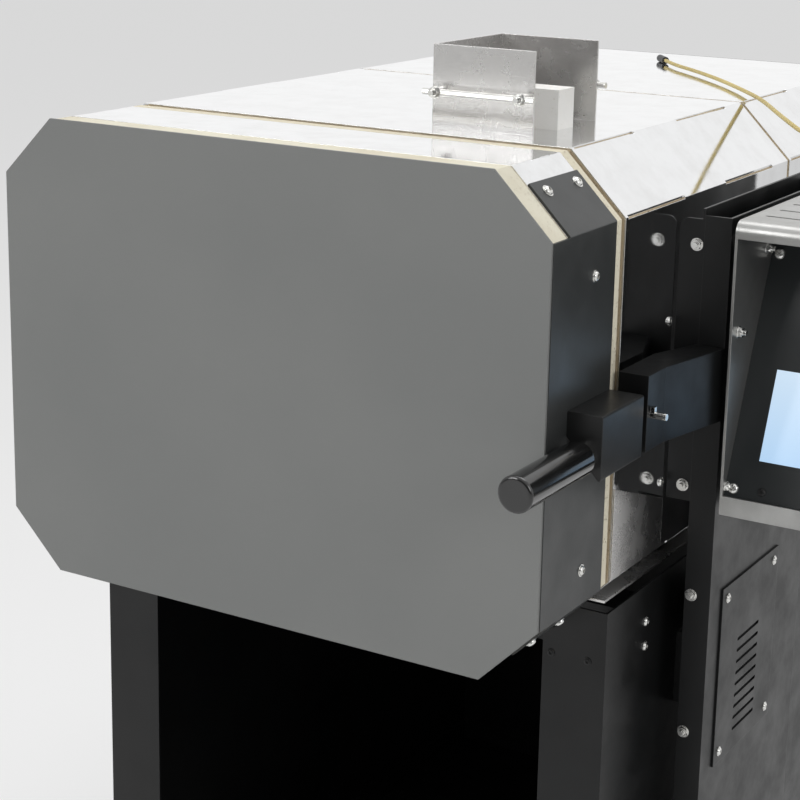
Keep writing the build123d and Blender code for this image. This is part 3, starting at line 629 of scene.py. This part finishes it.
nut_tree, nut_in, nut_out = geometry_tree(
    "nut_on_stud",
    [
        ("Nut Radius", "NodeSocketFloat", 4.6),
        ("Nut Height", "NodeSocketFloat", 3.2),
        ("Stud Radius", "NodeSocketFloat", 2.2),
        ("Stud Height", "NodeSocketFloat", 5.0),
        ("Washer Radius", "NodeSocketFloat", 5.4),
        ("Seed", "NodeSocketInt", 1),
        ("Material", "NodeSocketMaterial", None),
    ],
)
nut_washer = add_node(nut_tree, "GeometryNodeMeshCylinder", Vertices=24, Radius=nut_in["Washer Radius"], Depth=2 * washer_t)
blank = add_node(nut_tree, "GeometryNodeMeshCylinder", Vertices=6, Radius=nut_in["Nut Radius"], Depth=nut_in["Nut Height"])
corner_turn = add_node(
    nut_tree, "GeometryNodeMeshCone", Vertices=24, Depth=nut_in["Nut Height"],
    Radius_Top=maths(nut_tree, "MULTIPLY", nut_in["Nut Radius"], 0.88),
    Radius_Bottom=maths(nut_tree, "MULTIPLY", nut_in["Nut Radius"], 1.12),
)
half_nut = maths(nut_tree, "MULTIPLY", nut_in["Nut Height"], 0.5)
turned = boolean(nut_tree, "INTERSECT", moved(nut_tree, blank.outputs["Mesh"], half_nut), corner_turn.outputs["Mesh"])
stud = add_node(nut_tree, "GeometryNodeMeshCylinder", Vertices=16, Radius=nut_in["Stud Radius"], Depth=nut_in["Stud Height"])
stud_up = moved(nut_tree, stud.outputs["Mesh"], maths(nut_tree, "MULTIPLY", nut_in["Stud Height"], 0.5))
finish_on_points(nut_tree, nut_in, nut_out, boolean(nut_tree, "UNION", nut_washer.outputs["Mesh"], turned, stud_up))


def shaped_by(name, body, tree, mesh, slot, **settings):
    """A piece that a geometry tree makes from its base mesh, turned into one plain mesh on a body."""
    piece = bpy.data.objects.new(name, mesh)
    bpy.context.collection.objects.link(piece)
    modifier = piece.modifiers.new("form", "NODES")
    modifier.node_group = tree
    keys = {item.name: item.identifier for item in tree.interface.items_tree if item.in_out == "INPUT"}
    for label, value in settings.items():
        modifier[keys[label.replace("_", " ")]] = value
    bpy.context.view_layer.update()
    built = piece.evaluated_get(bpy.context.evaluated_depsgraph_get())
    final = bpy.data.meshes.new_from_object(built)
    piece.modifiers.remove(modifier)
    piece.data = final
    final.shade_smooth()
    final.set_sharp_from_angle(angle=math.radians(35.0))
    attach(piece, body)
    return piece


def seated(carrier, places, reach=0.02):
    """Each point moved along its way onto the carrier's surface."""
    found = []
    for place, way in places:
        out = Vector(way).normalized()
        met, spot, normal, face = nodes[carrier].ray_cast(Vector(place) + out * reach, -out)
        if not met:
            raise ValueError(f"{carrier} has no surface at {tuple(place)}")
        found.append((spot, way))
    return found


def set_out(name, places):
    """A base mesh of points, each with the way that it faces."""
    mesh = bpy.data.meshes.new(name)
    mesh.from_pydata([place for place, way in places], [], [])
    facing_way = mesh.attributes.new("facing", "FLOAT_VECTOR", "POINT")
    for item, (place, way) in zip(facing_way.data, places):
        item.vector = Vector(way).normalized()
    return mesh


# Door plate screws: three down each upright side and two on each corner's fold, upper and lower.
door_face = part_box("door_panel")[0].y
body_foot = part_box("jacket_front")[0].z
body_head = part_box("jacket_front")[1].z
body_mid = (body_foot + body_head) / 2
plate_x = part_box("door_side_plate_right")[1].x
fold_x, fold_rise = 0.2105, 0.163
fold_depths = (0.041, 0.086)
upright_spots = [(0.066, 0.283), (0.058, 0.145), (0.063, 0.071)]
plate_screws = []
for side, plate in ((-1, "door_side_plate_left"), (1, "door_side_plate_right")):
    spots = [
        ((side * plate_x, door_face + depth, body_foot + rise_up), (side, 0, 0)) for depth, rise_up in upright_spots
    ] + [
        ((side * fold_x, door_face + depth, body_mid + up * fold_rise), (side, 0, up))
        for depth in fold_depths for up in (-1, 1)
    ]
    plate_screws += seated(plate, spots)
shaped_by(
    "door_plate_screws", "door", screw_tree, set_out("door_plate_screws", plate_screws), "bright_steel",
    Head_Radius=3.6, Washer_Radius=4.6, Seed=3, Material=plated_steel,
)

# Hinge screws: four countersunk-size heads through each leaf into the side, on the left.
leaf_h = 0.0245
leaf_rows = (0.0065, 0.018)
leaf_ends = (0.008, 0.026)
for body, leaves in (("kiln", "body_hinge_leaves"), ("door", "door_hinge_leaves")):
    low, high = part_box(leaves)
    far_y, inward = (high.y, -1) if body == "kiln" else (low.y, 1)
    spots = [
        ((low.x, far_y + inward * end, foot + row), (-1, 0, 0))
        for foot in (low.z, high.z - leaf_h) for row in leaf_rows for end in leaf_ends
    ]
    shaped_by(
        f"{body}_hinge_screws", body, screw_tree, set_out(f"{body}_hinge_screws", seated(leaves, spots)),
        "bright_steel", Head_Radius=2.6, Rim_Height=0.6, Dome_Height=1.0, Recess_Radius=1.2, Washer_Radius=2.8,
        Seed=5, Material=plated_steel,
    )

# Tower fixings: nuts on the studs that hold the shield and the tower's front flange.
shield_low, shield_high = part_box("heat_shield")
tower_low, tower_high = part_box("tower_panel")
shield_studs = [((x, shield_low.y, body_foot + z), (0, -1, 0)) for x, z in ((0.2505, 0.2837), (0.2495, 0.097))]
tower_studs = [((0.2615, tower_low.y, body_foot + z), (0, -1, 0)) for z in (0.0102, -0.1035, -0.24, -0.37)]
shaped_by(
    "tower_nuts", "kiln", nut_tree,
    set_out("tower_nuts", seated("heat_shield", shield_studs) + seated("tower_panel", tower_studs)),
    "bright_steel", Nut_Radius=4.2, Nut_Height=3.2, Stud_Height=5.4, Washer_Radius=4.9, Seed=2,
    Material=plated_steel,
)

# Side screws: pan heads through the jacket beside the shield, through the stand into its rails, and
# at the louvred cover's corners.
jacket_spots = [((plate_x, shield_low.y - 0.009, body_foot + z), (1, 0, 0)) for z in (0.225, 0.099)]
side_screws = seated("jacket_front", jacket_spots)
rail_low, rail_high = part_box("cross_rails")
for side, stand in ((-1, "stand_side_left"), (1, "stand_side_right")):
    side_screws += seated(
        stand,
        [
            ((side * plate_x, y, z), (side, 0, 0))
            for y in (rail_low.y + 0.011, rail_high.y - 0.011) for z in (rail_low.z + 0.01, rail_high.z - 0.01)
        ],
    )
cover_low, cover_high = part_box("louvred_cover")
cover_inset = 0.010
side_screws += seated(
    "louvred_cover",
    [
        ((cover_high.x, y, z), (1, 0, 0))
        for y in (cover_low.y + cover_inset, cover_high.y - cover_inset)
        for z in (cover_low.z + cover_inset, cover_high.z - cover_inset)
    ],
)
shaped_by(
    "side_screws", "kiln", screw_tree, set_out("side_screws", side_screws), "bright_steel",
    Head_Radius=3.3, Rim_Height=0.9, Dome_Height=1.3, Recess_Radius=1.4, Washer_Radius=3.9, Seed=7,
    Material=plated_steel,
)

# Panel screws: bright cross-recess heads at the leaning panel's corners, and black ones round the
# screen's module.
panel_lean = math.radians(22.0)
panel_low, panel_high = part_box("control_panel")
panel_up = Vector((0.0, math.sin(panel_lean), math.cos(panel_lean)))
panel_out = Vector((0.0, -math.cos(panel_lean), math.sin(panel_lean)))
panel_foot = Vector((panel_low.x, panel_low.y, panel_low.z))
panel_w = panel_high.x - panel_low.x


def on_panel(across, up):
    """A point on the leaning panel, from its lower left corner, with the way that it faces."""
    return panel_foot + Vector((across, 0.0, 0.0)) + panel_up * up, panel_out


corner_inset = 0.0065
shaped_by(
    "panel_screws", "kiln", screw_tree,
    set_out(
        "panel_screws",
        seated("control_panel", [on_panel(u, v) for u in (corner_inset, panel_w - corner_inset) for v in (0.007, 0.188)]),
    ),
    "bright_steel", Head_Radius=4.0, Rim_Height=0.8, Dome_Height=1.8, Recess_Radius=1.9, Washer_Radius=4.1,
    Cross_Recess=True, Seed=11, Material=plated_steel,
)
screen_inset = 0.029
screen_screws = seated("control_panel", [on_panel(u, 0.008) for u in (screen_inset, panel_w - screen_inset)])
screen_screws += seated("screen_module", [on_panel(u, 0.105) for u in (screen_inset, panel_w - screen_inset)])
shaped_by(
    "screen_screws", "kiln", screw_tree, set_out("screen_screws", screen_screws), "latch_black",
    Head_Radius=3.0, Rim_Height=0.6, Dome_Height=1.2, Recess_Radius=1.4, Washer_Radius=3.1, Cross_Recess=True,
    Seed=13, Material=latch_coat,
)

# Cheek and rod nuts: plated nuts inside the left cheek, where it is bolted to the tower, and on the
# clamps that hold the rods to the terminal bracket.
cheek_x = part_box("box_cheeks")[0].x
cheek_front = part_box("box_cheeks")[0].y
cheek_nuts = seated(
    "box_cheeks",
    [
        ((cheek_x, cheek_front + depth, body_foot + z), (1, 0, 0))
        for depth, z in ((0.013, 0.221), (0.063, 0.276), (0.006, 0.103))
    ],
)
rods_low, rods_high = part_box("terminal_rods")
clamp_inset = 0.011
rod_z = (rods_low.z + rods_high.z) / 2
rod_nuts = seated(
    "terminal_rods",
    [
        ((x, y, rod_z), (0, way, 0))
        for x in (rods_low.x + clamp_inset, rods_high.x - clamp_inset)
        for y, way in ((rods_low.y, -1), (rods_high.y, 1))
    ],
)
shaped_by(
    "plated_nuts", "kiln", nut_tree, set_out("plated_nuts", cheek_nuts + rod_nuts), "bright_steel",
    Nut_Radius=4.2, Nut_Height=3.6, Stud_Height=6.4, Washer_Radius=4.6, Seed=4, Material=plated_steel,
)

# Leg and rear screws: black heads in the legs' faces, and plated ones round the rear panel.
leg_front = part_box("stand_side_right")[0].y
leg_screws = []
for side, stand in ((-1, "stand_side_left"), (1, "stand_side_right")):
    leg_screws += seated(
        stand,
        [((side * x, leg_front, body_foot - drop), (0, -1, 0)) for x in (0.190, 0.2205) for drop in (0.0205, 0.43)],
    )
shaped_by(
    "leg_screws", "kiln", screw_tree, set_out("leg_screws", leg_screws), "black_powder",
    Head_Radius=2.8, Rim_Height=0.4, Dome_Height=0.9, Recess_Radius=1.4, Washer_Radius=3.0, Seed=17,
    Material=black_coat,
)
rear_low, rear_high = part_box("rear_panel")
rear_inset = 0.012
rear_wide = rear_high.x - rear_inset
rear_tall = (rear_high.z - rear_low.z) / 2 - rear_inset
rear_spots = [(side * rear_wide, z) for side in (-1, 1) for z in (-0.12, 0.0, 0.12)]
rear_spots += [(x, side * rear_tall) for side in (-1, 1) for x in (-0.17, 0.0, 0.17)]
rear_screws = seated("rear_panel", [((x, rear_high.y, body_mid + z), (0, 1, 0)) for x, z in rear_spots])
shaped_by(
    "rear_screws", "kiln", screw_tree, set_out("rear_screws", rear_screws), "bright_steel",
    Head_Radius=3.2, Washer_Radius=4.2, Seed=19, Material=plated_steel,
)
